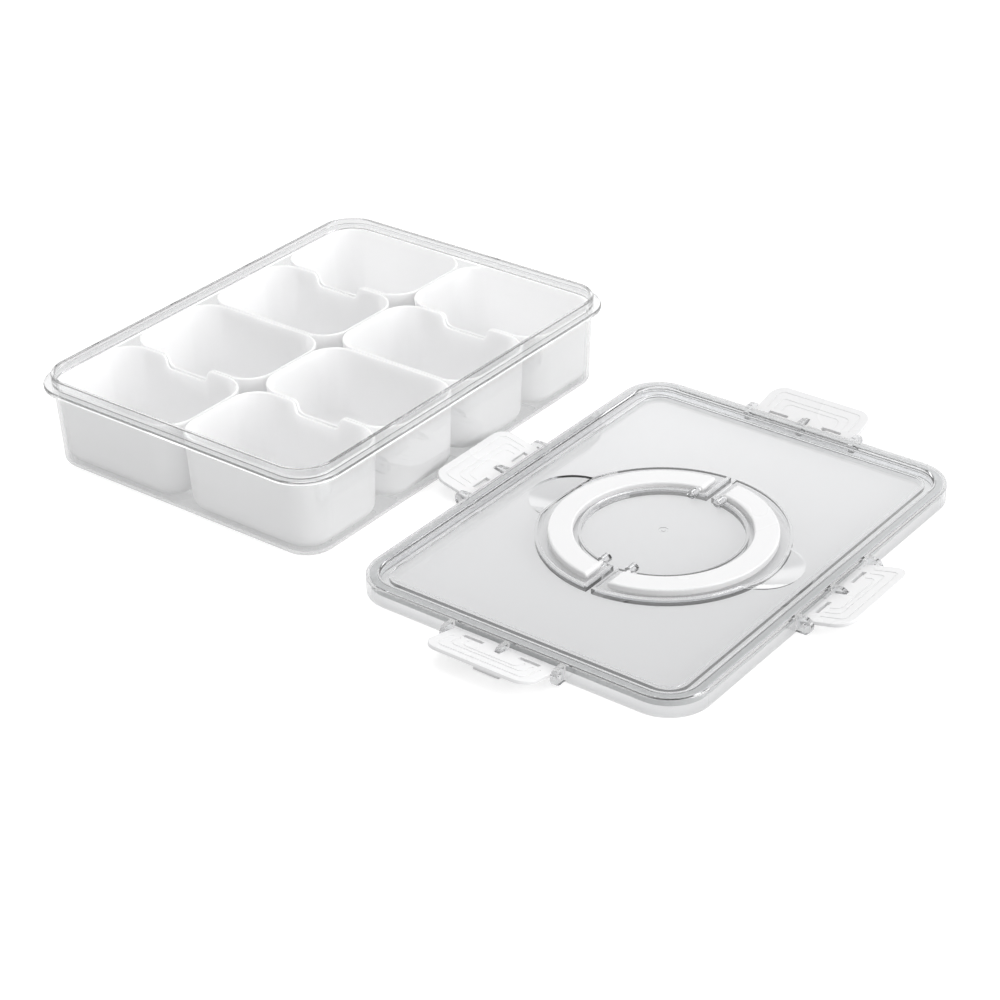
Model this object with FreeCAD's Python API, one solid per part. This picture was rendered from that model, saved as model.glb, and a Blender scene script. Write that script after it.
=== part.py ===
import FreeCAD, Part
import math
import os

from FreeCAD import Vector

# Divided snack box with eight loose cups and a carry lid.
# Millimetres, +Z up. The origin is the middle of the box's underside.
# X runs along the long side. The lid lies beside the box on the same surface, towards -Y.

# Outer box
lip_length = 300.0          # outside of the upright lip
lip_width = 224.4
lip_corner = 22.5
lip_height = 6.0
lip_thick = 2.5
lip_round = 0.8
box_height = 62.5
flange_reach = 5.0          # how far the flange stands out past the lip
flange_thick = 3.0
flange_round = 1.0
wall_set_in = 0.9           # body wall behind the lip's face, just under the flange
box_draft = 2.3             # how much each wall leans in by the bottom
wall = 1.9
floor_thick = 2.0
box_bottom_round = 5.0
rib_pitch = 20.3
rib_pairs = 6
rib_wide = 1.2
rib_high = 0.8
rib_end_gap = 2.5           # between a rib's end and the start of the wall's curve

# Cups
cup_columns = 4
cup_gap = 0.5               # cup to cup and cup to wall, at the rim
cup_rim_drop = 0.8          # cup rims below the top of the flange
cup_lift = 0.1              # cup bottoms above the ribs
cup_draft = 2.5
cup_wall = 1.6
cup_floor = 1.6
cup_bottom_round = 10.0
notch_bottom = 27.0
notch_depth = 8.4

# Lid
lid_margin = 4.0            # lid's outer face past the lip's outer face
lid_height = 12.0
skirt_wall = 2.2
skin = 2.0                  # top sheet
bead_width = 8.6
bead_round = 1.9
channel_width = 4.8         # takes the box's lip
guide_low = 4.5             # lower edge of the wall that enters the box
ledge_drop = 2.0            # ledge below the bead
ledge_width = 6.6
panel_drop = 2.3            # panel below the ledge
step_wall = 1.8
lid_gap = 28.9              # between the flange and the lid on the table
lid_shift = -4.7            # lid's middle along the box
gate_radius = 3.0
gate_depth = 0.3

# Seal
seal_side_gap = 0.4
seal_above_lip = 0.3
seal_top_gap = 0.1
seal_round = 0.6

# Handle halves
handle_outer = 69.2
handle_inner = 53.9
handle_thick = 5.0
handle_round = 1.2
handle_proud = 1.7          # handle's top above the panel
handle_axis_y = 9.6
pivot_radius = 1.5
pivot_fit = 0.05
pivot_end_gap = 0.5
lobe_radius = 3.2
lobe_length = 6.2
pocket_outer = 75.1
pocket_inner = 51.0
pocket_end = 3.6            # half the bar between the two pockets
pocket_floor_gap = 0.6      # under a handle that lies down
pocket_wall = 1.8
scoop_radius = 27.0
scoop_middle = 67.0
scoop_depth = 3.4

# Latches
latch_width = 72.8
latch_reach = 27.2          # free edge past the hinge line
latch_thick = 2.2
latch_over_pin = 2.0        # upper face above the hinge line
latch_lean = 13.5           # degrees that an open latch leans up, standing on its hook
latch_corner = 10.5
latch_edge_gap = 1.9        # hinge edge to skirt
latch_edge_round = 0.5
hinge_out = 5.2             # hinge line past the skirt
hinge_height = 6.4          # hinge line above the lid's lower edge
hinge_pin = 1.3
hinge_fit = 0.05
lug_radius = 5.1
lug_thick = 3.4
lug_side_gap = 0.3
lug_end_gap = 0.5
slot_length = 14.0
slot_wide = 3.2
slot_middle = 19.5
slot_out = 0.9              # slot's middle past the hinge line
hook_fit = 0.3              # under the flange when the lid is closed
hook_thick = 3.6
hook_width = 17.4
groove_side_in = (5.8, 10.8, 16.3)      # each groove, from the plate's side
groove_far_in = (4.7, 10.7, 14.2)       # each groove, from the plate's free edge
groove_corner = 4.5
groove_wide = 1.2
groove_depth = 0.35
groove_slot_gap = 2.5       # from the slots to where a groove starts

# Worked-out sizes of the outer box
flange_top = box_height - lip_height
flange_low = flange_top - flange_thick
body_length = lip_length - 2 * wall_set_in
body_width = lip_width - 2 * wall_set_in
body_corner = lip_corner - wall_set_in
mouth_length = lip_length - 2 * lip_thick
mouth_width = lip_width - 2 * lip_thick
mouth_corner = lip_corner - lip_thick
foot_length = body_length - 2 * box_draft
foot_width = body_width - 2 * box_draft
foot_corner = body_corner - box_draft
inner_round = box_bottom_round - wall

# Worked-out sizes of the cups
inner_lean = (mouth_length - foot_length) / 2 + wall
cup_rim = flange_top - cup_rim_drop
cup_low = floor_thick + rib_high + cup_lift
cup_tall = cup_rim - cup_low
rim_set_in = inner_lean * (box_height - cup_rim) / (box_height - floor_thick)
cup_length = (mouth_length - 2 * rim_set_in - (cup_columns + 1) * cup_gap) / cup_columns
cup_width = (mouth_width - 2 * rim_set_in - 3 * cup_gap) / 2
cup_corner = mouth_corner - cup_gap
cup_pitch_x = cup_length + cup_gap
cup_pitch_y = cup_width + cup_gap

# Worked-out sizes of the lid
lid_length = lip_length + 2 * lid_margin
lid_width = lip_width + 2 * lid_margin
lid_corner = lip_corner + lid_margin
ledge_top = lid_height - ledge_drop
panel_top = ledge_top - panel_drop
panel_low = panel_top - skin
channel_top = lid_height - skin
step_in = bead_width + ledge_width
lid_place = Vector(lid_shift, -(lip_width / 2 + flange_reach + lid_gap + lid_width / 2), 0)

# Worked-out sizes of the handles
handle_top = panel_top + handle_proud
handle_low = handle_top - handle_thick
handle_axis_z = handle_top - handle_thick / 2
handle_nose = handle_thick / 2
pocket_floor = handle_low - pocket_floor_gap

# Worked-out sizes of a latch, from its hinge line
latch_low = latch_over_pin - latch_thick
latch_edge = latch_edge_gap - hinge_out
hook_start = hinge_height + flange_thick + hook_fit
lean = math.radians(latch_lean)
hook_tip = (hinge_height + hook_start * math.sin(lean)) / math.cos(lean)


def rounded_outline(length, width, radius, z):
    """Closed wire of a rectangle with round corners, centred on the Z axis."""
    half_x, half_y = length / 2, width / 2
    in_x, in_y = half_x - radius, half_y - radius
    corners = [(in_x, in_y, 0), (-in_x, in_y, 90), (-in_x, -in_y, 180), (in_x, -in_y, 270)]
    arcs = []
    for x, y, start in corners:
        circle = Part.Circle(Vector(x, y, z), Vector(0, 0, 1), radius)
        arcs.append(circle.toShape(math.radians(start), math.radians(start + 90)))
    edges = []
    for number, arc in enumerate(arcs):
        following = arcs[(number + 1) % 4]
        edges.append(arc)
        start = arc.valueAt(arc.LastParameter)
        end = following.valueAt(following.FirstParameter)
        edges.append(Part.makeLine(start, end))
    return Part.Wire(edges)


def slab(length, width, radius, z_low, z_high):
    """Upright block with round corners."""
    face = Part.Face(rounded_outline(length, width, radius, z_low))
    return face.extrude(Vector(0, 0, z_high - z_low))


def leaning_slab(low, high, z_low, z_high):
    """Block whose walls lean between a low and a high outline, each length, width, radius."""
    wires = [rounded_outline(*low, z_low), rounded_outline(*high, z_high)]
    return Part.makeLoft(wires, True, True)


def block(x_low, x_high, y_low, y_high, z_low, z_high):
    """Plain block between two corners."""
    size = (x_high - x_low, y_high - y_low, z_high - z_low)
    return Part.makeBox(*size, Vector(x_low, y_low, z_low))


def edges_at(shape, z):
    """Edges that lie wholly at one height."""
    found = []
    for edge in shape.Edges:
        box = edge.BoundBox
        if abs(box.ZMin - z) < 1e-4 and abs(box.ZMax - z) < 1e-4:
            found.append(edge)
    return found


def round_at(shape, z, radius):
    """Round every edge that lies at one height."""
    return shape.makeFillet(radius, edges_at(shape, z))


def save(shape, name):
    """Write one sub-part as its own STEP file."""
    shape.removeSplitter().exportStep("parts/" + name + ".step")


def make_box():
    """Clear outer box: leaning walls, flange, upright lip and thin floor ribs."""
    foot = (foot_length, foot_width, foot_corner)
    top = (body_length, body_width, body_corner)
    outside = round_at(leaning_slab(foot, top, 0, flange_low), 0, box_bottom_round)

    flange_size = (lip_length + 2 * flange_reach, lip_width + 2 * flange_reach)
    flange = slab(*flange_size, lip_corner + flange_reach, flange_low, flange_top)
    flange = round_at(round_at(flange, flange_top, flange_round), flange_low, flange_round)
    lip = slab(lip_length, lip_width, lip_corner, flange_low, box_height)
    solid = outside.fuse([flange, lip])

    low = (foot_length - 2 * wall, foot_width - 2 * wall, foot_corner - wall)
    high = (mouth_length, mouth_width, mouth_corner)
    hollow = leaning_slab(low, high, floor_thick, box_height)
    hollow = round_at(hollow, floor_thick, inner_round)
    solid = solid.cut(hollow)
    solid = round_at(solid, box_height, lip_round)

    rib_half = foot_width / 2 - wall - inner_round - rib_end_gap
    ribs = []
    for number in range(-rib_pairs, rib_pairs + 1):
        middle = number * rib_pitch
        ribs.append(block(middle - rib_wide / 2, middle + rib_wide / 2, -rib_half, rib_half,
                          floor_thick - rib_high / 2, floor_thick + rib_high))
    return solid.fuse(ribs)


def notch_cutter(side):
    """Finger notch: flat bottom, and ends that sweep up to the rim in an S curve."""
    bend = notch_depth / 2
    low = cup_tall - notch_depth
    inner, outer = notch_bottom / 2, notch_bottom / 2 + 2 * bend
    slant = bend * math.sqrt(0.5)

    def point(y, z):
        return Vector(0, y, z)

    def arc(first, middle, last):
        return Part.Arc(point(*first), point(*middle), point(*last)).toShape()

    edges = [Part.makeLine(point(-inner, low), point(inner, low))]
    edges.append(arc((inner, low), (inner + slant, low + bend - slant), (inner + bend, low + bend)))
    edges.append(arc((inner + bend, low + bend), (outer - slant, cup_tall - bend + slant),
                     (outer, cup_tall)))
    edges.append(Part.makeLine(point(outer, cup_tall), point(outer, cup_tall + bend)))
    edges.append(Part.makeLine(point(outer, cup_tall + bend), point(-outer, cup_tall + bend)))
    edges.append(Part.makeLine(point(-outer, cup_tall + bend), point(-outer, cup_tall)))
    edges.append(arc((-outer, cup_tall), (slant - outer, cup_tall - bend + slant),
                     (-inner - bend, low + bend)))
    edges.append(arc((-inner - bend, low + bend), (-inner - slant, low + bend - slant),
                     (-inner, low)))
    cutter = Part.Face(Part.Wire(edges)).extrude(Vector(side * cup_length, 0, 0))
    return cutter


def make_cup(side):
    """White cup with its finger notch in the long wall towards side."""
    low = (cup_length - 2 * cup_draft, cup_width - 2 * cup_draft, cup_corner - cup_draft)
    high = (cup_length, cup_width, cup_corner)
    outside = round_at(leaning_slab(low, high, 0, cup_tall), 0, cup_bottom_round)

    low_inside = (low[0] - 2 * cup_wall, low[1] - 2 * cup_wall, low[2] - cup_wall)
    high_inside = (high[0] - 2 * cup_wall, high[1] - 2 * cup_wall, high[2] - cup_wall)
    inside = leaning_slab(low_inside, high_inside, cup_floor, cup_tall)
    inside = round_at(inside, cup_floor, cup_bottom_round - cup_wall)
    return outside.cut(inside).cut(notch_cutter(side))


def make_cups():
    """Four columns by two rows. The notches of two neighbours face each other."""
    for row, row_name in ((-0.5, "near"), (0.5, "far")):
        for column in range(cup_columns):
            side = 1 if column % 2 == 0 else -1
            cup = make_cup(side)
            x = (column - (cup_columns - 1) / 2) * cup_pitch_x
            cup.translate(Vector(x, row * cup_pitch_y, cup_low))
            save(cup, "cup_" + row_name + "_" + str(column + 1))


def lid_slab(set_in, z_low, z_high):
    """Block with the lid's outline, drawn in by set_in on every side."""
    size = (lid_length - 2 * set_in, lid_width - 2 * set_in)
    return slab(*size, lid_corner - set_in, z_low, z_high)


def ring_of_lid(outer_in, inner_in, z_low, z_high):
    """Band between two outlines of the lid."""
    return lid_slab(outer_in, z_low, z_high).cut(lid_slab(inner_in, z_low, z_high))


def half_ring(outer, inner, end, z_low, z_high, side):
    """Half of a flat ring, cut straight at distance end from the X axis."""
    tall = z_high - z_low
    ring = Part.makeCylinder(outer, tall, Vector(0, 0, z_low))
    ring = ring.cut(Part.makeCylinder(inner, tall, Vector(0, 0, z_low)))
    y_low, y_high = (end, 2 * outer) if side > 0 else (-2 * outer, -end)
    return ring.common(block(-2 * outer, 2 * outer, y_low, y_high, z_low, z_high))


def scoop(side, grow):
    """Lower cap of a large ball beyond the handle, grown for the skin under the scoop."""
    radius = (scoop_radius ** 2 + scoop_depth ** 2) / (2 * scoop_depth)
    middle_z = panel_top - scoop_depth + radius
    ball = Part.makeSphere(radius + grow, Vector(0, side * scoop_middle, middle_z))
    reach = scoop_middle + 2 * scoop_radius
    y_low, y_high = sorted((0, side * reach))
    cap = ball.common(block(-reach, reach, y_low, y_high, 0, panel_top))
    middle = Part.makeCylinder(handle_outer, lid_height)
    return cap.cut(middle)


def pivot_rod(radius, x_from, x_to, y):
    """Round rod along X at the height of a handle's hinge line."""
    start = Vector(min(x_from, x_to), y, handle_axis_z)
    return Part.makeCylinder(radius, abs(x_to - x_from), start, Vector(1, 0, 0))


def side_frames():
    """Name, turn about Z and distance from the middle to the skirt, for the four latches."""
    half_long, half_short = lid_length / 2, lid_width / 2
    return [("back", 0, half_long), ("left", 90, half_short),
            ("front", 180, half_long), ("right", 270, half_short)]


def place_at_side(shape, turn, skirt):
    """Carry a shape that is drawn at the +X side, from the skirt's face, to its own side."""
    shape = shape.copy()
    shape.translate(Vector(skirt, 0, 0))
    shape.rotate(Vector(0, 0, 0), Vector(0, 0, 1), turn)
    return shape


def lug(y_low, y_high):
    """Ear on the skirt that carries a latch pin."""
    root = block(-skirt_wall / 2, hinge_out, y_low, y_high,
                 hinge_height - lug_radius, hinge_height + lug_radius)
    nose = Part.makeCylinder(lug_radius, y_high - y_low, Vector(hinge_out, y_low, hinge_height),
                             Vector(0, 1, 0))
    return root.fuse(nose)


def lug_spans():
    """The three ears of one latch, as spans along the skirt."""
    end = latch_width / 2 + lug_side_gap
    return [(-end - lug_thick, -end), (-lug_thick / 2, lug_thick / 2), (end, end + lug_thick)]


def make_lid():
    """Clear lid: skirt, bead with the seal's channel, ledge, panel, pockets and ears."""
    inside = -lid_height
    solid = lid_slab(0, 0, lid_height)
    solid = solid.cut(lid_slab(bead_width, ledge_top, lid_height))
    solid = round_at(solid, lid_height, bead_round)
    solid = solid.cut(lid_slab(step_in, panel_top, lid_height))
    solid = solid.cut(lid_slab(step_in - step_wall, inside, panel_low))
    solid = solid.cut(lid_slab(bead_width, inside, ledge_top - skin)
                      .cut(lid_slab(step_in - step_wall, inside, ledge_top)))
    channel_in = skirt_wall + channel_width
    solid = solid.cut(ring_of_lid(skirt_wall, channel_in, inside, channel_top))
    solid = solid.cut(ring_of_lid(skirt_wall, bead_width, inside, guide_low))

    added, cut_out = [], []
    for side in (1, -1):
        added.append(half_ring(pocket_outer + pocket_wall, pocket_inner - pocket_wall,
                               pocket_end - pocket_wall, pocket_floor - pocket_wall,
                               panel_top, side))
        added.append(scoop(side, pocket_wall))
        cut_out.append(half_ring(pocket_outer, pocket_inner, pocket_end, pocket_floor,
                                 lid_height, side))
        cut_out.append(scoop(side, 0))
    for side in (1, -1):
        for end in (1, -1):
            wall_x = math.sqrt(pocket_inner ** 2 - handle_axis_y ** 2)
            lobe = pivot_rod(lobe_radius, end * wall_x, end * (wall_x - lobe_length),
                             side * handle_axis_y)
            added.append(lobe)
            cut_out.append(pivot_rod(pivot_radius + pivot_fit, end * pocket_inner,
                                     end * (pivot_tip() - pivot_end_gap), side * handle_axis_y))
    gate = Part.makeCylinder(gate_radius, gate_depth, Vector(0, 0, panel_top - gate_depth))
    nub = Part.makeCylinder(gate_radius / 2, gate_depth, Vector(0, 0, panel_top - gate_depth))
    cut_out.append(gate.cut(nub))

    for name, turn, skirt in side_frames():
        for y_low, y_high in lug_spans():
            added.append(place_at_side(lug(y_low, y_high), turn, skirt))
        bore_half = latch_width / 2 + lug_side_gap + lug_thick + lug_side_gap
        bore = Part.makeCylinder(hinge_pin + hinge_fit, 2 * bore_half,
                                 Vector(hinge_out, -bore_half, hinge_height), Vector(0, 1, 0))
        cut_out.append(place_at_side(bore, turn, skirt))

    solid = solid.fuse(added).cut(cut_out)
    solid.translate(lid_place)
    save(solid, "lid_cover")


def make_seal():
    """Soft ring at the roof of the lid's channel, over the box's lip."""
    channel_in = skirt_wall + channel_width
    low = lip_height + seal_above_lip
    high = channel_top - seal_top_gap
    ring = ring_of_lid(skirt_wall + seal_side_gap, channel_in - seal_side_gap, low, high)
    ring = round_at(ring, low, seal_round)
    ring.translate(lid_place)
    save(ring, "lid_seal")


def pivot_tip():
    """Where the inner end of a handle's pivot pin stops, from the middle."""
    wall_x = math.sqrt(pocket_inner ** 2 - handle_axis_y ** 2)
    return wall_x - lobe_length + pocket_wall / 2 + pivot_end_gap


def make_handles():
    """Two half-ring handles that lie in the pockets and turn up on pins at their ends."""
    for side, name in ((1, "left"), (-1, "right")):
        grip = half_ring(handle_outer, handle_inner, handle_axis_y, handle_low, handle_top, side)
        nose = pivot_rod(handle_nose, -handle_outer * 2, handle_outer * 2, side * handle_axis_y)
        nose = nose.common(half_ring(handle_outer, handle_inner, 0, handle_low, handle_top, side))
        grip = grip.fuse(nose).removeSplitter()
        curved = [edge for edge in grip.Edges
                  if edge.Curve.TypeId == "Part::GeomCircle"
                  and edge.Curve.Radius > handle_inner - 1
                  and abs(edge.BoundBox.ZMax - handle_top) < 1e-4]
        grip = grip.makeFillet(handle_round, curved)
        pins = []
        for end in (1, -1):
            root = math.sqrt(handle_inner ** 2 - handle_axis_y ** 2) + handle_nose
            pins.append(pivot_rod(pivot_radius, end * root, end * pivot_tip(),
                                  side * handle_axis_y))
        grip = grip.fuse(pins)
        grip.translate(lid_place)
        save(grip, "handle_" + name)


def latch_outline(side_in, far_in, radius, z):
    """Plate seen from above, drawn in from its sides and free edge, with two round corners."""
    half = latch_width / 2 - side_in
    far = latch_reach - far_in
    near = latch_edge
    slant = radius * math.sqrt(0.5)
    points = [Vector(near, -half, z), Vector(far - radius, -half, z),
              Vector(far - radius + slant, -half + radius - slant, z),
              Vector(far, -half + radius, z), Vector(far, half - radius, z),
              Vector(far - radius + slant, half - radius + slant, z),
              Vector(far - radius, half, z), Vector(near, half, z)]
    edges = [Part.makeLine(points[0], points[1]),
             Part.Arc(points[1], points[2], points[3]).toShape(),
             Part.makeLine(points[3], points[4]),
             Part.Arc(points[4], points[5], points[6]).toShape(),
             Part.makeLine(points[6], points[7]),
             Part.makeLine(points[7], points[0])]
    return Part.Face(Part.Wire(edges))


def groove(side_in, far_in):
    """One of the nested U-shaped grooves in the latch's upper face."""
    z = latch_over_pin - groove_depth
    outer = latch_outline(side_in, far_in, groove_corner, z)
    inner = latch_outline(side_in + groove_wide, far_in + groove_wide,
                          groove_corner - groove_wide, z)
    band = outer.cut(inner).extrude(Vector(0, 0, 2 * groove_depth))
    start = slot_out + slot_wide / 2 + groove_slot_gap
    keep = block(start, latch_reach, -latch_width, latch_width, z, z + 2 * groove_depth)
    return band.common(keep)


def make_latch():
    """White latch of the +X side, open, from the skirt's face."""
    plate = latch_outline(0, 0, latch_corner, latch_low).extrude(Vector(0, 0, latch_thick))
    rim = [edge for edge in edges_at(plate, latch_over_pin)
           if edge.BoundBox.XMax > latch_edge + latch_edge_round]
    plate = plate.makeFillet(latch_edge_round, rim)
    opening = lug_thick / 2 + lug_side_gap
    cut_out = [block(latch_edge, lug_radius + lug_end_gap, -opening, opening,
                     latch_low, latch_over_pin)]
    for side in (1, -1):
        middle = side * slot_middle
        cut_out.append(block(slot_out - slot_wide / 2, slot_out + slot_wide / 2,
                             middle - slot_length / 2, middle + slot_length / 2,
                             latch_low, latch_over_pin))
    for side_in, far_in in zip(groove_side_in, groove_far_in):
        cut_out.append(groove(side_in, far_in))
    plate = plate.cut(cut_out)

    added = [block(hook_start, hook_start + hook_thick, -hook_width / 2, hook_width / 2,
                   -hook_tip, latch_low)]
    pin_half = latch_width / 2 + lug_side_gap + lug_thick
    pin_hold = lug_thick / 2
    for y_low, y_high in ((-opening - pin_hold, opening + pin_hold),
                          (-pin_half, -latch_width / 2 + pin_hold),
                          (latch_width / 2 - pin_hold, pin_half)):
        added.append(Part.makeCylinder(hinge_pin, y_high - y_low, Vector(0, y_low, 0),
                                       Vector(0, 1, 0)))
    latch = plate.fuse(added)
    latch.rotate(Vector(0, 0, 0), Vector(0, 1, 0), -latch_lean)
    latch.translate(Vector(hinge_out, 0, hinge_height))
    return latch


def make_latches():
    """Four equal latches, one at the middle of each side of the lid."""
    for name, turn, skirt in side_frames():
        latch = place_at_side(make_latch(), turn, skirt)
        latch.translate(lid_place)
        save(latch, "latch_" + name)


os.makedirs("parts", exist_ok=True)
save(make_box(), "outer_box")
make_cups()
make_lid()
make_seal()
make_handles()
make_latches()
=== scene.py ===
# %% [markdown]
# # A divided snack box with a carry lid
# The real object is a clear moulded box with eight white cups in it. Its clear lid lies open
# beside it, with a white handle in two halves and a white latch on each side. The measured CAD
# model comes in first and never moves. Everything that Blender adds is set out around it.

# %% Load the measured frame
import math

import bmesh
import bpy
from mathutils import Matrix, Vector


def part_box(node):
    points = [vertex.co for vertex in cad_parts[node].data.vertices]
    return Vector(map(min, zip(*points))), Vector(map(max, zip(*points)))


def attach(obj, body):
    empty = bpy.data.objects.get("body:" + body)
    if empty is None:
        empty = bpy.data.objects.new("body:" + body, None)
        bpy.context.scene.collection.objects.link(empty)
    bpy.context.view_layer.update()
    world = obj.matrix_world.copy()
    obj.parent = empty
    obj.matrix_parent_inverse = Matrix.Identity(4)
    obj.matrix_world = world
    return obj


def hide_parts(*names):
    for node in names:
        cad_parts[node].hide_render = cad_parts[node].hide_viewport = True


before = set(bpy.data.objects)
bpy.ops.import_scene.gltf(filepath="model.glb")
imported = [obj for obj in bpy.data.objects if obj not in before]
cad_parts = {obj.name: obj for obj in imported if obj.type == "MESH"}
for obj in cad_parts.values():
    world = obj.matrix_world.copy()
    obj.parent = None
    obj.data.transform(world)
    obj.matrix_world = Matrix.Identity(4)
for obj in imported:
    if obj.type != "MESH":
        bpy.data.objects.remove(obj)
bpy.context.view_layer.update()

# %% [markdown]
# ## The camera
# A product photograph like this one is taken with a long lens from above a corner. The lens and
# the place below were worked out from corners whose places on the object are known, so that the
# render lies over the photograph. The camera is set by its own three directions, because Euler
# angles are easy to get wrong by a few degrees.

# %% Set the camera
picture_side = 1000
focal_pixels = 2537.7
turn, height_angle, roll = math.radians(-51.985), math.radians(30.368), math.radians(-1.449)
camera_offset = Vector((0.10838, -0.05400, 1.65626))      # right, up and back, in metres

back = Vector((math.sin(turn) * math.cos(height_angle),
               -math.cos(turn) * math.cos(height_angle), math.sin(height_angle)))
level = Vector((math.cos(turn), math.sin(turn), 0.0))
upright = back.cross(level)
right = math.cos(roll) * level + math.sin(roll) * upright
up = math.cos(roll) * upright - math.sin(roll) * level

lens = bpy.data.cameras.new("camera")
lens.sensor_width = 36.0
lens.lens = focal_pixels * lens.sensor_width / picture_side
camera = bpy.data.objects.new("camera", lens)
camera.matrix_world = Matrix((right, up, back)).transposed().to_4x4()
camera.location = right * camera_offset.x + up * camera_offset.y + back * camera_offset.z
bpy.context.scene.collection.objects.link(camera)
bpy.context.scene.camera = camera
print("lens", round(lens.lens, 2), "mm, camera at", [round(v, 3) for v in camera.location])

# %% [markdown]
# ## Helpers for node trees
# Shaders and Geometry Nodes are both built by adding nodes and joining sockets. Two small
# helpers keep that readable.

# %% Node helpers
def add(tree, kind, **inputs):
    """Add a node and set some of its inputs by name. A name's underscores stand for spaces."""
    node = tree.nodes.new(kind)
    for name, value in inputs.items():
        node.inputs[name.replace("_", " ")].default_value = value
    return node


def join(tree, *pairs):
    """Join sockets, each pair an output and an input."""
    for source, target in pairs:
        tree.links.new(source, target)


def maths(tree, operation, first, second=0.0, third=0.0):
    """The result of a Math node on sockets or numbers."""
    node = tree.nodes.new("ShaderNodeMath")
    node.operation = operation
    for socket, value in zip(node.inputs, (first, second, third)):
        if isinstance(value, (int, float)):
            socket.default_value = value
        else:
            tree.links.new(value, socket)
    return node.outputs[0]


def new_material(name):
    """An empty material with its output node."""
    material = bpy.data.materials.new(name)
    material.use_nodes = True
    material.node_tree.nodes.clear()
    output = material.node_tree.nodes.new("ShaderNodeOutputMaterial")
    return material, material.node_tree, output

# %% [markdown]
# ## The floor and the surroundings
# The object stands on a plain white sweep. White plastic on white needs care: the floor is a
# pale diffuse surface that takes the object's shadow, and rays from the camera, from mirrors and
# through the clear plastic also get a little light from the floor itself, so that it reaches
# plain white without more light on the object.

# %% Make the floor
floor_mesh = bpy.data.meshes.new("floor")
floor_half = 4.0
floor_mesh.from_pydata([(-floor_half, -floor_half, 0), (floor_half, -floor_half, 0),
                        (floor_half, floor_half, 0), (-floor_half, floor_half, 0)],
                       [], [(0, 1, 2, 3)])
floor = bpy.data.objects.new("floor", floor_mesh)
bpy.context.scene.collection.objects.link(floor)


lost_after, lost_light = 7.0, 0.20      # turns in clear plastic, and the light that is left


def ray_kinds(tree):
    """Masks for camera rays, for rays mirrored or bent by plastic, and light left of lost ones."""
    path = add(tree, "ShaderNodeLightPath")
    turned = maths(tree, "MAXIMUM", path.outputs["Is Glossy Ray"],
                   path.outputs["Is Transmission Ray"])
    lost = maths(tree, "GREATER_THAN", path.outputs["Ray Depth"], lost_after)
    left = maths(tree, "MULTIPLY_ADD", lost, lost_light - 1.0, 1.0)
    return path.outputs["Is Camera Ray"], turned, left


floor_finish, tree, output = new_material("white_sweep")
paper_white, lift_direct, lift_turned = 0.60, 0.60, 0.355
direct, turned, left = ray_kinds(tree)
paper = add(tree, "ShaderNodeBsdfDiffuse")
glow = add(tree, "ShaderNodeEmission", Color=(1, 1, 1, 1))
both = add(tree, "ShaderNodeAddShader")
lift = maths(tree, "MAXIMUM", maths(tree, "MULTIPLY", direct, lift_direct),
             maths(tree, "MULTIPLY", maths(tree, "MULTIPLY", turned, left), lift_turned))
join(tree, (maths(tree, "MULTIPLY", left, paper_white), paper.inputs["Color"]),
     (lift, glow.inputs["Strength"]),
     (paper.outputs[0], both.inputs[0]), (glow.outputs[0], both.inputs[1]),
     (both.outputs[0], output.inputs["Surface"]))
floor.data.materials.append(floor_finish)

# %% [markdown]
# ## The room
# A clear piece shows nothing of its own: it shows the room, mirrored and bent. All round the
# floor the room is white, and high up it is darker, as a studio is above its lamps. The dark
# part gives the clear plastic its crisp grey lines. For the light on the object the room counts
# as one even soft level.

# %% Surround it with a soft room
world = bpy.data.worlds.new("studio")
bpy.context.scene.world = world
world.use_nodes = True
tree = world.node_tree
tree.nodes.clear()
soft_light, brightest = 0.72, 1.6
bands = [(0.0, 0.45), (12.0, 0.45), (23.0, 1.0), (27.0, 1.0), (34.5, 0.16)]   # degrees, share
direct, turned, left = ray_kinds(tree)
direction = add(tree, "ShaderNodeTexCoord")
split = add(tree, "ShaderNodeSeparateXYZ")
seen = add(tree, "ShaderNodeValToRGB")
seen.color_ramp.interpolation = "EASE"
for number, (degrees, share) in enumerate(bands):
    place = math.sin(math.radians(degrees))
    stops = seen.color_ramp.elements
    stop = stops[number] if number < 2 else stops.new(place)
    stop.position = place
    stop.color = (share, share, share, 1)
strength = add(tree, "ShaderNodeMix")
strength.inputs["A"].default_value = soft_light
room = add(tree, "ShaderNodeBackground", Color=(1, 1, 1, 1))
output = tree.nodes.new("ShaderNodeOutputWorld")
mirrored = maths(tree, "MULTIPLY", maths(tree, "MULTIPLY", seen.outputs["Color"], left), brightest)
join(tree, (direction.outputs["Generated"], split.inputs[0]),
     (split.outputs["Z"], seen.inputs["Fac"]),
     (maths(tree, "MAXIMUM", mirrored, direct), strength.inputs["B"]),
     (maths(tree, "MAXIMUM", direct, turned), strength.inputs["Factor"]),
     (strength.outputs["Result"], room.inputs["Strength"]),
     (room.outputs[0], output.inputs["Surface"]))

view = bpy.context.scene.view_settings
view.view_transform = "Standard"
paths = bpy.context.scene.cycles
paths.max_bounces, paths.glossy_bounces, paths.transmission_bounces = 24, 16, 20
paths.transparent_max_bounces, paths.diffuse_bounces = 24, 8

# %% [markdown]
# ## The lamps
# In the photograph the sides that face right are bright, the sides that face left are grey and
# the shadows are faint. One broad soft lamp stands high on the right, and a weaker one fills
# from the left. Broad lamps also give the long smooth highlights on the box's rim.

# %% Hang the lamps
def soft_lamp(name, place, aim, size, watts):
    """A square soft lamp that faces a point."""
    data = bpy.data.lights.new(name, "AREA")
    data.shape = "RECTANGLE"
    data.size, data.size_y = size
    data.energy = watts
    lamp = bpy.data.objects.new(name, data)
    lamp.location = place
    lamp.rotation_euler = (Vector(place) - Vector(aim)).to_track_quat("Z", "Y").to_euler()
    bpy.context.scene.collection.objects.link(lamp)
    print(name, "at", place, watts, "W")


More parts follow.
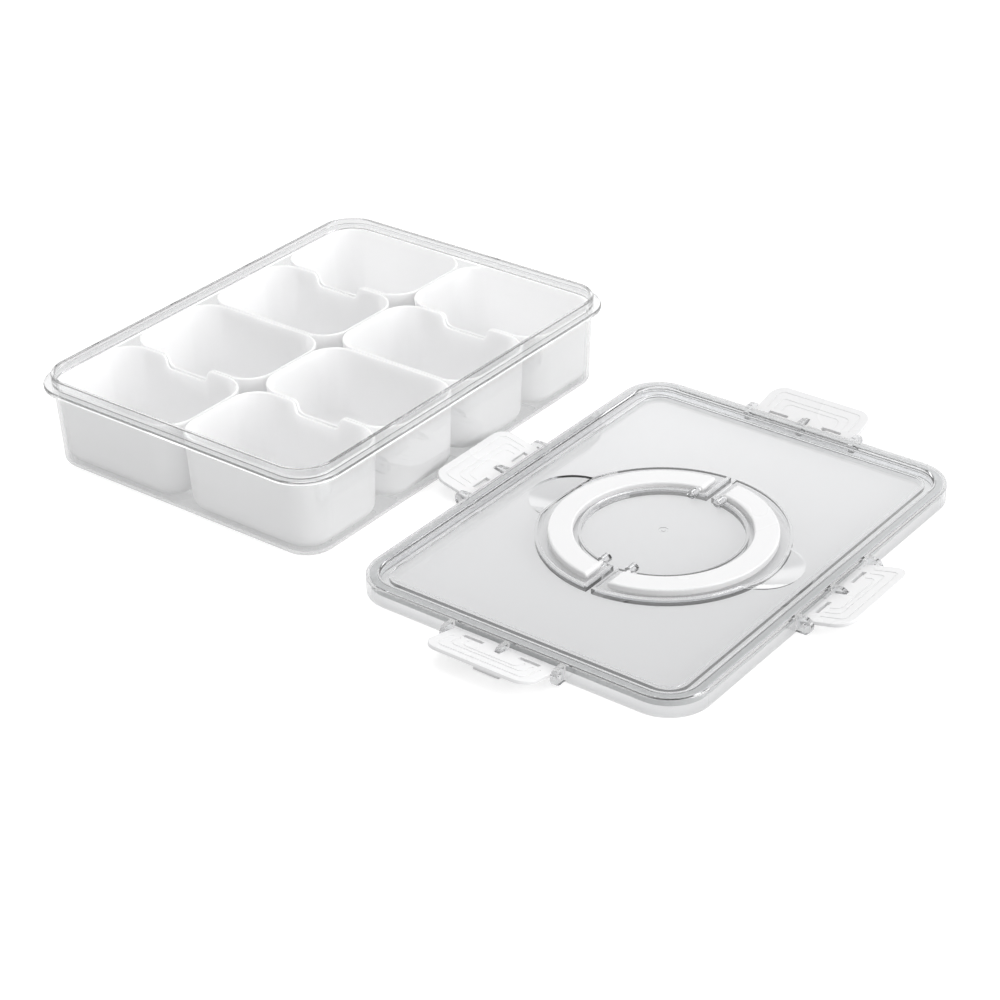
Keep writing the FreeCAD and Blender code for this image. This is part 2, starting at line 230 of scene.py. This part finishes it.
middle = (0.0, -0.13, 0.03)
soft_lamp("key_lamp", (0.6, -2.3, 0.8), middle, (2.0, 1.4), 30.0)
soft_lamp("fill_lamp", (-1.8, -0.2, 0.9), middle, (1.0, 1.0), 3.0)
soft_lamp("top_lamp", (0.2, 0.1, 2.2), middle, (1.6, 1.6), 13.0)
soft_lamp("edge_lamp", (1.9, 1.1, 0.40), middle, (1.6, 0.16), 1.2)

# %% [markdown]
# ## Plastics
# Four plastics are on the object: the clear, stiff one of the box and the lid, the white one of
# the cups, the glossier white of the handle and latches, and the soft grey seal. All come from
# moulds, so all share the same slight unevenness: a fine grain and a slow waviness left by the
# mould. That effect is one node group, placed in each material with its own values.

# %% The moulded surface as a node group
def make_moulded_group():
    """Fine grain and slow waviness of a moulded plastic, for colour, roughness and bump."""
    group = bpy.data.node_groups.new("moulded_surface", "ShaderNodeTree")
    face = group.interface
    for name, value in (("Grain per Metre", 900.0), ("Waves per Metre", 14.0),
                        ("Grain Share", 0.5), ("Least Roughness", 0.2),
                        ("Most Roughness", 0.3), ("Colour Change", 0.03)):
        face.new_socket(name, in_out="INPUT", socket_type="NodeSocketFloat").default_value = value
    face.new_socket("Colour", in_out="INPUT", socket_type="NodeSocketColor")
    face.new_socket("Colour", in_out="OUTPUT", socket_type="NodeSocketColor")
    face.new_socket("Roughness", in_out="OUTPUT", socket_type="NodeSocketFloat")
    face.new_socket("Height", in_out="OUTPUT", socket_type="NodeSocketFloat")
    inlet, outlet = group.nodes.new("NodeGroupInput"), group.nodes.new("NodeGroupOutput")
    place = add(group, "ShaderNodeTexCoord")
    grain = add(group, "ShaderNodeTexNoise", Detail=2.0, Roughness=0.5)
    waves = add(group, "ShaderNodeTexNoise", Detail=2.0, Roughness=0.5)
    height = add(group, "ShaderNodeMix")
    rough = add(group, "ShaderNodeMapRange")
    rough.inputs["From Min"].default_value = 0.3
    rough.inputs["From Max"].default_value = 0.7
    fade = add(group, "ShaderNodeMath")
    fade.operation = "MULTIPLY"
    shade = add(group, "ShaderNodeMath")
    shade.operation = "SUBTRACT"
    shade.inputs[0].default_value = 1.0
    colour = add(group, "ShaderNodeVectorMath")
    colour.operation = "SCALE"
    join(group, (place.outputs["Object"], grain.inputs["Vector"]),
         (place.outputs["Object"], waves.inputs["Vector"]),
         (inlet.outputs["Grain per Metre"], grain.inputs["Scale"]),
         (inlet.outputs["Waves per Metre"], waves.inputs["Scale"]),
         (inlet.outputs["Grain Share"], height.inputs["Factor"]),
         (waves.outputs["Fac"], height.inputs["A"]), (grain.outputs["Fac"], height.inputs["B"]),
         (waves.outputs["Fac"], rough.inputs["Value"]),
         (inlet.outputs["Least Roughness"], rough.inputs["To Min"]),
         (inlet.outputs["Most Roughness"], rough.inputs["To Max"]),
         (waves.outputs["Fac"], fade.inputs[0]), (inlet.outputs["Colour Change"], fade.inputs[1]),
         (fade.outputs[0], shade.inputs[1]), (inlet.outputs["Colour"], colour.inputs[0]),
         (shade.outputs[0], colour.inputs["Scale"]),
         (colour.outputs[0], outlet.inputs["Colour"]),
         (rough.outputs["Result"], outlet.inputs["Roughness"]),
         (height.outputs["Result"], outlet.inputs["Height"]))
    return group


moulded = make_moulded_group()


def place_moulded(tree, **values):
    """The moulded surface group in a material, with that material's own values."""
    node = tree.nodes.new("ShaderNodeGroup")
    node.node_tree = moulded
    for name, value in values.items():
        node.inputs[name.replace("_", " ")].default_value = value
    return node

# %% White plastics
def white_plastic(name, colour, grain, bump, glow, **values):
    """A white moulded plastic with its own grain and gloss. Light soaks into it by glow."""
    material, tree, output = new_material(name)
    skin = place_moulded(tree, Colour=colour, Grain_per_Metre=grain, **values)
    bumps = add(tree, "ShaderNodeBump", Strength=bump, Distance=0.0002)
    plastic = add(tree, "ShaderNodeBsdfPrincipled", IOR=1.49, Subsurface_Weight=glow,
                  Subsurface_Scale=0.004, Subsurface_Radius=(1.0, 1.0, 1.0))
    join(tree, (skin.outputs["Colour"], plastic.inputs["Base Color"]),
         (skin.outputs["Roughness"], plastic.inputs["Roughness"]),
         (skin.outputs["Height"], bumps.inputs["Height"]),
         (bumps.outputs["Normal"], plastic.inputs["Normal"]),
         (plastic.outputs[0], output.inputs["Surface"]))
    return material


cup_white = white_plastic("cup_white", (0.96, 0.96, 0.965, 1), 900.0, 0.02, 0.9,
                          Least_Roughness=0.30, Most_Roughness=0.42, Colour_Change=0.02)
part_white = white_plastic("handle_white", (0.83, 0.83, 0.835, 1), 700.0, 0.03, 0.0,
                           Least_Roughness=0.22, Most_Roughness=0.30, Colour_Change=0.015)

rubber = white_plastic("seal_silicone", (0.70, 0.71, 0.71, 1), 900.0, 0.03, 0.4,
                       Least_Roughness=0.40, Most_Roughness=0.50, Colour_Change=0.03)

# %% Clear plastic
def clear_plastic(name, tint, shadow, density, least, most, bump):
    """Clear solid plastic. Lamps shine through it with a faint shadow."""
    material, tree, output = new_material(name)
    skin = place_moulded(tree, Colour=tint, Grain_per_Metre=500.0, Waves_per_Metre=9.0,
                         Grain_Share=0.1, Least_Roughness=least, Most_Roughness=most,
                         Colour_Change=0.02)
    bumps = add(tree, "ShaderNodeBump", Strength=bump, Distance=0.0005)
    plastic = add(tree, "ShaderNodeBsdfPrincipled", IOR=1.49)
    plastic.inputs["Transmission Weight"].default_value = 1.0
    path = add(tree, "ShaderNodeLightPath")
    straight = maths(tree, "MAXIMUM", path.outputs["Is Shadow Ray"], path.outputs["Is Diffuse Ray"])
    straight = maths(tree, "MAXIMUM", straight,
                     maths(tree, "GREATER_THAN", path.outputs["Ray Depth"], lost_after))
    passing = add(tree, "ShaderNodeBsdfTransparent", Color=shadow)
    mix = add(tree, "ShaderNodeMixShader")
    inside = add(tree, "ShaderNodeVolumeAbsorption", Color=tint, Density=density)
    join(tree, (skin.outputs["Colour"], plastic.inputs["Base Color"]),
         (skin.outputs["Roughness"], plastic.inputs["Roughness"]),
         (skin.outputs["Height"], bumps.inputs["Height"]),
         (bumps.outputs["Normal"], plastic.inputs["Normal"]),
         (straight, mix.inputs[0]), (plastic.outputs[0], mix.inputs[1]),
         (passing.outputs[0], mix.inputs[2]), (mix.outputs[0], output.inputs["Surface"]))
    if density:
        join(tree, (inside.outputs[0], output.inputs["Volume"]))
    return material


clear_box = clear_plastic("clear_box", (0.88, 0.883, 0.887, 1), (0.97, 0.97, 0.97, 1),
                          0.0, 0.0, 0.01, 0.02)
clear_lid = clear_plastic("clear_lid", (0.92, 0.925, 0.935, 1), (0.86, 0.86, 0.86, 1),
                          0.0, 0.0, 0.01, 0.02)
# %% [markdown]
# ## The cups
# Each real cup is one thin white moulding: a flat floor, a wide round foot, walls that lean out a
# little so that the cup slips off its mould, and a rim that is round all the way. One long wall
# has a notch for a finger. The section through the wall is the same all round, so the cup
# follows a rule, and Geometry Nodes suit it: the section is swept round a rectangle with round
# corners, and the notch is a rule on the swept points. A box with a bevel could not give the
# wall that leans and the notch's S-shaped ends, and sculpting could not give eight equal cups.

# %% Round the corners of a section
def rounded_section(corners, steps=8):
    """Points of a line through corners, each x, z and radius, with arcs at the corners."""
    points = []
    for number, (x, z, radius) in enumerate(corners):
        here = Vector((x, z))
        if radius == 0:
            points.append(here)
            continue
        before = (Vector(corners[number - 1][:2]) - here).normalized()
        after = (Vector(corners[number + 1][:2]) - here).normalized()
        half = before.angle(after) / 2
        centre = here + (before + after).normalized() * radius / math.sin(half)
        start = here + before * radius / math.tan(half) - centre
        end = here + after * radius / math.tan(half) - centre
        sweep = start.angle_signed(end)
        for step in range(steps + 1):
            points.append(centre + Matrix.Rotation(-sweep * step / steps, 2) @ start)
    return points


def section_mesh(name, corners, steps=8):
    """A section as a mesh of edges, which the node tree sweeps with X outwards and Y down."""
    points = rounded_section(corners, steps)
    mesh = bpy.data.meshes.new(name)
    edges = [(number, number + 1) for number in range(len(points) - 1)]
    mesh.from_pydata([(x, -z, 0) for x, z in points], edges, [])
    return mesh

# %% The node tree that sweeps a wall
def tree_input(tree, name, kind, value=None):
    """A named input of a node tree."""
    socket = tree.interface.new_socket(name, in_out="INPUT", socket_type="NodeSocket" + kind)
    if value is not None:
        socket.default_value = value


def make_wall_tree():
    """Sweep a section round a rectangle with round corners, and cut one notch in its rim."""
    tree = bpy.data.node_groups.new("swept_wall", "GeometryNodeTree")
    tree_input(tree, "Section", "Geometry")
    for name in ("Length", "Width", "Corner Radius", "Step", "Rim Height", "Wall Lean",
                 "Notch Side", "Notch Bottom", "Notch Bend"):
        tree_input(tree, name, "Float", 0.0)
    tree_input(tree, "Place", "Vector")
    tree_input(tree, "Finish", "Material")
    tree.interface.new_socket("Geometry", in_out="OUTPUT", socket_type="NodeSocketGeometry")
    inlet, outlet = tree.nodes.new("NodeGroupInput"), tree.nodes.new("NodeGroupOutput")
    size = inlet.outputs

    outline = tree.nodes.new("GeometryNodeCurvePrimitiveQuadrilateral")
    corner = tree.nodes.new("GeometryNodeFilletCurve")
    corner.mode = "POLY"
    corner.inputs["Count"].default_value = 24
    steps = tree.nodes.new("GeometryNodeResampleCurve")
    steps.mode = "LENGTH"
    section = tree.nodes.new("GeometryNodeMeshToCurve")
    swept = tree.nodes.new("GeometryNodeCurveToMesh")
    join(tree, (size["Length"], outline.inputs["Width"]), (size["Width"], outline.inputs["Height"]),
         (outline.outputs[0], corner.inputs["Curve"]),
         (size["Corner Radius"], corner.inputs["Radius"]),
         (corner.outputs[0], steps.inputs["Curve"]), (size["Step"], steps.inputs["Length"]),
         (size["Section"], section.inputs["Mesh"]), (steps.outputs[0], swept.inputs["Curve"]),
         (section.outputs[0], swept.inputs["Profile Curve"]))

    place = tree.nodes.new("GeometryNodeInputPosition")
    split = tree.nodes.new("ShaderNodeSeparateXYZ")
    join(tree, (place.outputs[0], split.inputs[0]))
    x, y, z = split.outputs
    bend = size["Notch Bend"]
    along = maths(tree, "SUBTRACT", maths(tree, "ABSOLUTE", y), size["Notch Bottom"])
    along = maths(tree, "MINIMUM", maths(tree, "MAXIMUM", along), maths(tree, "MULTIPLY", bend, 2.0))
    past = maths(tree, "SUBTRACT", along, bend)
    side = maths(tree, "SIGN", past)
    from_end = maths(tree, "SUBTRACT", bend, maths(tree, "ABSOLUTE", past))
    rise = maths(tree, "SQRT", maths(tree, "SUBTRACT", maths(tree, "MULTIPLY", bend, bend),
                                     maths(tree, "MULTIPLY", from_end, from_end)))
    drop = maths(tree, "SUBTRACT", bend, maths(tree, "MULTIPLY", side, rise))
    near_rim = maths(tree, "GREATER_THAN", z, maths(tree, "MULTIPLY", size["Rim Height"], 0.9))
    on_side = maths(tree, "GREATER_THAN", maths(tree, "MULTIPLY", x, size["Notch Side"]),
                    maths(tree, "MULTIPLY", size["Length"], 0.4))
    drop = maths(tree, "MULTIPLY", drop, maths(tree, "MULTIPLY", near_rim, on_side))
    inwards = maths(tree, "MULTIPLY", drop, maths(tree, "MULTIPLY", size["Wall Lean"],
                                                  size["Notch Side"]))
    move = tree.nodes.new("ShaderNodeCombineXYZ")
    notch = tree.nodes.new("GeometryNodeSetPosition")
    carry = tree.nodes.new("GeometryNodeTransform")
    smooth = tree.nodes.new("GeometryNodeSetShadeSmooth")
    real = tree.nodes.new("GeometryNodeRealizeInstances")
    finish = tree.nodes.new("GeometryNodeSetMaterial")
    join(tree, (maths(tree, "MULTIPLY", inwards, -1.0), move.inputs["X"]),
         (maths(tree, "MULTIPLY", drop, -1.0), move.inputs["Z"]),
         (swept.outputs[0], notch.inputs["Geometry"]), (move.outputs[0], notch.inputs["Offset"]),
         (notch.outputs[0], carry.inputs["Geometry"]), (size["Place"], carry.inputs["Translation"]),
         (carry.outputs[0], smooth.inputs["Geometry"]), (smooth.outputs[0], real.inputs[0]),
         (real.outputs[0], finish.inputs["Geometry"]), (size["Finish"], finish.inputs["Material"]),
         (finish.outputs[0], outlet.inputs[0]))
    return tree


wall_tree = make_wall_tree()
print("swept wall tree", len(wall_tree.nodes), "nodes")

# %% Turn a node tree's result into a plain piece
def plain_piece(name, start_mesh, tree, body, close=False, **values):
    """Run a tree on a mesh with named inputs, and keep the result as a plain mesh on a body."""
    maker = bpy.data.objects.new(name + "_maker", start_mesh)
    bpy.context.scene.collection.objects.link(maker)
    modifier = maker.modifiers.new("nodes", "NODES")
    modifier.node_group = tree
    for item in tree.interface.items_tree:
        key = item.name.replace(" ", "_")
        if item.in_out == "INPUT" and key in values:
            modifier[item.identifier] = values[key]
    ready = maker.evaluated_get(bpy.context.evaluated_depsgraph_get())
    mesh = bpy.data.meshes.new_from_object(ready)
    mesh.name = name
    bpy.data.objects.remove(maker)
    if close:
        shape = bmesh.new()
        shape.from_mesh(mesh)
        bmesh.ops.remove_doubles(shape, verts=shape.verts, dist=1e-6)
        rim = [edge for edge in shape.edges if edge.is_boundary]
        bmesh.ops.holes_fill(shape, edges=rim)
        bmesh.ops.recalc_face_normals(shape, faces=shape.faces)
        for face in shape.faces:
            face.smooth = len(face.verts) < 5
        shape.to_mesh(mesh)
        shape.free()
    piece = bpy.data.objects.new(name, mesh)
    bpy.context.scene.collection.objects.link(piece)
    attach(piece, body)
    low = [min(v.co[i] for v in mesh.vertices) * 1000 for i in range(3)]
    high = [max(v.co[i] for v in mesh.vertices) * 1000 for i in range(3)]
    print(name, "faces", len(mesh.polygons), "mm", [round(v, 2) for v in low],
          [round(v, 2) for v in high])
    return piece

# %% Make the eight cups
cup_wall, cup_floor, cup_draft, cup_foot = 0.0016, 0.0016, 0.0025, 0.010
cup_corner, rim_round = 0.0195, 0.00076
notch_bottom, notch_bend = 0.0135, 0.0042

for name in [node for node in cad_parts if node.startswith("cup")]:
    low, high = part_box(name)
    length, width, tall = high - low
    floor_end = -cup_draft - cup_foot - 0.0005
    section = section_mesh(name + "_section", [
        (floor_end, 0, 0), (-cup_draft, 0, cup_foot), (0, tall, rim_round),
        (-cup_wall, tall, rim_round), (-cup_wall - cup_draft, cup_floor, cup_foot - cup_wall),
        (floor_end, cup_floor, 0)])
    side = 1.0 if int(name[-1]) % 2 else -1.0
    cup = plain_piece("moulded_" + name, section, wall_tree, name, close=True, Length=length,
                      Width=width, Corner_Radius=cup_corner, Step=0.001, Rim_Height=tall,
                      Wall_Lean=cup_draft / tall, Notch_Side=side, Notch_Bottom=notch_bottom,
                      Notch_Bend=notch_bend,
                      Place=((low.x + high.x) / 2, (low.y + high.y) / 2, low.z), Finish=cup_white)
    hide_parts(name)

# %% [markdown]
# ## The measured pieces
# The box, the lid, the seal, the handle halves and the latches already have the right shape, so
# they stay, and only their material slots change.

# %% Give each measured piece its finish
finishes = {"outer_box": clear_box, "lid_cover": clear_lid, "lid_seal": rubber}
for name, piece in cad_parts.items():
    if not name.startswith("cup"):
        piece.material_slots[0].material = finishes.get(name, part_white)
    else:
        piece.material_slots[0].material = cup_white
